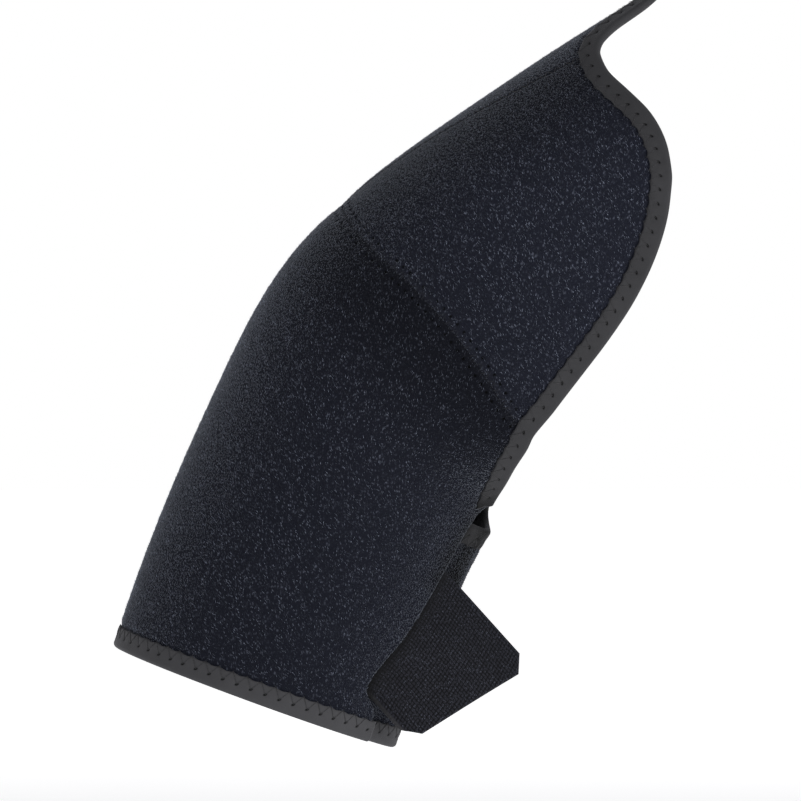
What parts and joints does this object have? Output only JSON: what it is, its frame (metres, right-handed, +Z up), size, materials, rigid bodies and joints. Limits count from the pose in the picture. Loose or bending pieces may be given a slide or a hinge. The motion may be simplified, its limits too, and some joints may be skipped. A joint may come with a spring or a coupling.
{
  "type": "shoulder brace",
  "caption": "Padded cloth brace for one shoulder: a sleeve round the upper arm, a flap over the chest side, a back panel, taped edges and a hook tab, shaped as worn.",
  "frame": {"origin": "the seat on top of the shoulder: the wall's inner face at the shoulder seam, where the brace sits on its wearer", "axes": "+Z up, +X across to the chest's middle, +Y to the wearer's back; the picture looks along +Y"},
  "size_m": [0.2221, 0.1231, 0.3054],
  "materials": {
    "cloth": "dark navy pile over padded cloth, matt with pale fibre specks",
    "trim": "dark grey folded edge tape, finely woven, low sheen",
    "hook": "black woven tab with a fine grid of hooks"
  },
  "bodies": {
    "root": {"sleeve_panel": "cloth", "chest_panel": "cloth", "back_panel": "cloth", "edge_binding": "trim", "cuff_binding": "trim", "hook_tab": "hook"}
  },
  "joints": []
}
